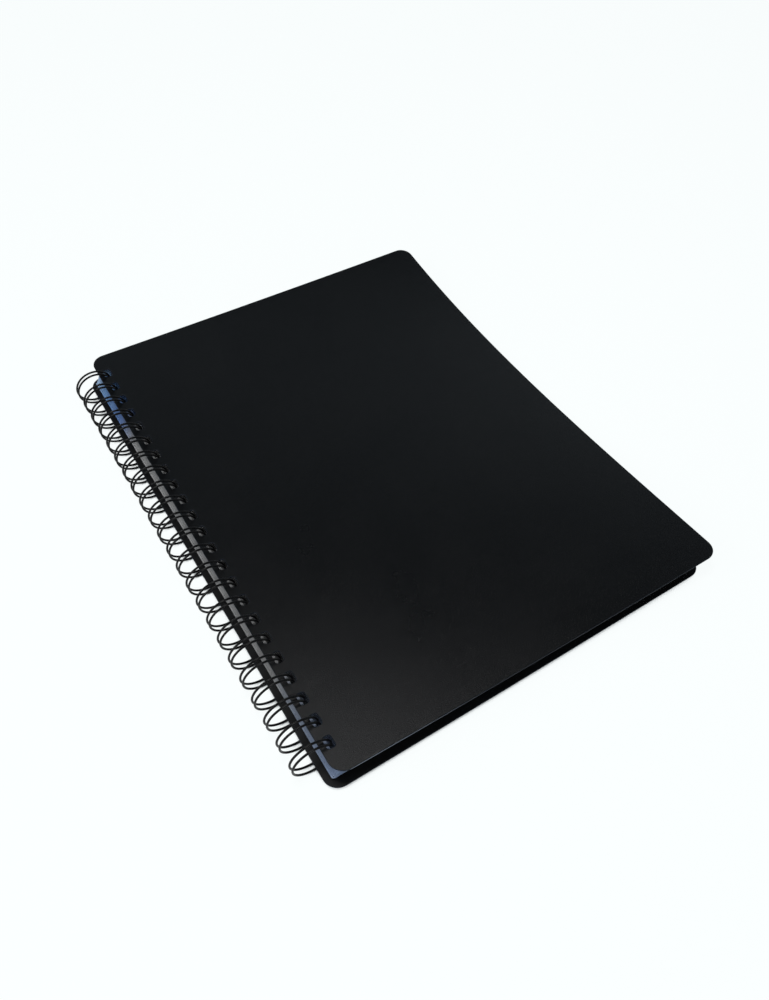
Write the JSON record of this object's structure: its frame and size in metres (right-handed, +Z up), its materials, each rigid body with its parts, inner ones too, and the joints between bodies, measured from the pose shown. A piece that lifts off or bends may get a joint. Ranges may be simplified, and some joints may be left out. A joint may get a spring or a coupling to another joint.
{
  "type": "music folder",
  "caption": "Music folder with black plastic covers and clear pockets on a black twin-loop wire, lying closed.",
  "frame": {"origin": "on the table under the middle of the closed folder's bounding box", "axes": "+X from the spine to the fore edge, +Y up the page, +Z up out of the front cover"},
  "size_m": [0.2508, 0.312, 0.0228],
  "materials": {
    "cover": "fine sand-grain matt",
    "wire": "black nylon coating, smooth satin",
    "film": "clear gloss"
  },
  "bodies": {
    "spine": {"wire_binding": "wire", "back_cover": "cover"},
    "pocket_01": {"pocket_01_back_film": "film", "pocket_01_front_film": "film"},
    "pocket_02": {"pocket_02_back_film": "film", "pocket_02_front_film": "film"},
    "pocket_03": {"pocket_03_back_film": "film", "pocket_03_front_film": "film"},
    "pocket_04": {"pocket_04_back_film": "film", "pocket_04_front_film": "film"},
    "pocket_05": {"pocket_05_back_film": "film", "pocket_05_front_film": "film"},
    "pocket_06": {"pocket_06_back_film": "film", "pocket_06_front_film": "film"},
    "pocket_07": {"pocket_07_back_film": "film", "pocket_07_front_film": "film"},
    "pocket_08": {"pocket_08_back_film": "film", "pocket_08_front_film": "film"},
    "pocket_09": {"pocket_09_back_film": "film", "pocket_09_front_film": "film"},
    "pocket_10": {"pocket_10_back_film": "film", "pocket_10_front_film": "film"},
    "pocket_11": {"pocket_11_back_film": "film", "pocket_11_front_film": "film"},
    "pocket_12": {"pocket_12_back_film": "film", "pocket_12_front_film": "film"},
    "front": {"front_cover": "cover"}
  },
  "joints": [
    {"name": "pocket_01_turn", "type": "hinge", "parent": "spine", "child": "pocket_01", "pos_m": [-0.11406, 0, 0.0114], "axis": [0, -1, 0], "range_deg": [0, 180]},
    {"name": "pocket_02_turn", "type": "hinge", "parent": "pocket_01", "child": "pocket_02", "pos_m": [-0.11406, 0, 0.0114], "axis": [0, -1, 0], "range_deg": [0, 180]},
    {"name": "pocket_03_turn", "type": "hinge", "parent": "pocket_02", "child": "pocket_03", "pos_m": [-0.11406, 0, 0.0114], "axis": [0, -1, 0], "range_deg": [0, 180]},
    {"name": "pocket_04_turn", "type": "hinge", "parent": "pocket_03", "child": "pocket_04", "pos_m": [-0.11406, 0, 0.0114], "axis": [0, -1, 0], "range_deg": [0, 180]},
    {"name": "pocket_05_turn", "type": "hinge", "parent": "pocket_04", "child": "pocket_05", "pos_m": [-0.11406, 0, 0.0114], "axis": [0, -1, 0], "range_deg": [0, 180]},
    {"name": "pocket_06_turn", "type": "hinge", "parent": "pocket_05", "child": "pocket_06", "pos_m": [-0.11406, 0, 0.0114], "axis": [0, -1, 0], "range_deg": [0, 180]},
    {"name": "pocket_07_turn", "type": "hinge", "parent": "pocket_06", "child": "pocket_07", "pos_m": [-0.11406, 0, 0.0114], "axis": [0, -1, 0], "range_deg": [0, 180]},
    {"name": "pocket_08_turn", "type": "hinge", "parent": "pocket_07", "child": "pocket_08", "pos_m": [-0.11406, 0, 0.0114], "axis": [0, -1, 0], "range_deg": [0, 180]},
    {"name": "pocket_09_turn", "type": "hinge", "parent": "pocket_08", "child": "pocket_09", "pos_m": [-0.11406, 0, 0.0114], "axis": [0, -1, 0], "range_deg": [0, 180]},
    {"name": "pocket_10_turn", "type": "hinge", "parent": "pocket_09", "child": "pocket_10", "pos_m": [-0.11406, 0, 0.0114], "axis": [0, -1, 0], "range_deg": [0, 180]},
    {"name": "pocket_11_turn", "type": "hinge", "parent": "pocket_10", "child": "pocket_11", "pos_m": [-0.11406, 0, 0.0114], "axis": [0, -1, 0], "range_deg": [0, 180]},
    {"name": "pocket_12_turn", "type": "hinge", "parent": "pocket_11", "child": "pocket_12", "pos_m": [-0.11406, 0, 0.0114], "axis": [0, -1, 0], "range_deg": [0, 180]},
    {"name": "front_turn", "type": "hinge", "parent": "pocket_12", "child": "front", "pos_m": [-0.11406, 0, 0.0114], "axis": [0, -1, 0], "range_deg": [0, 180]}
  ]
}
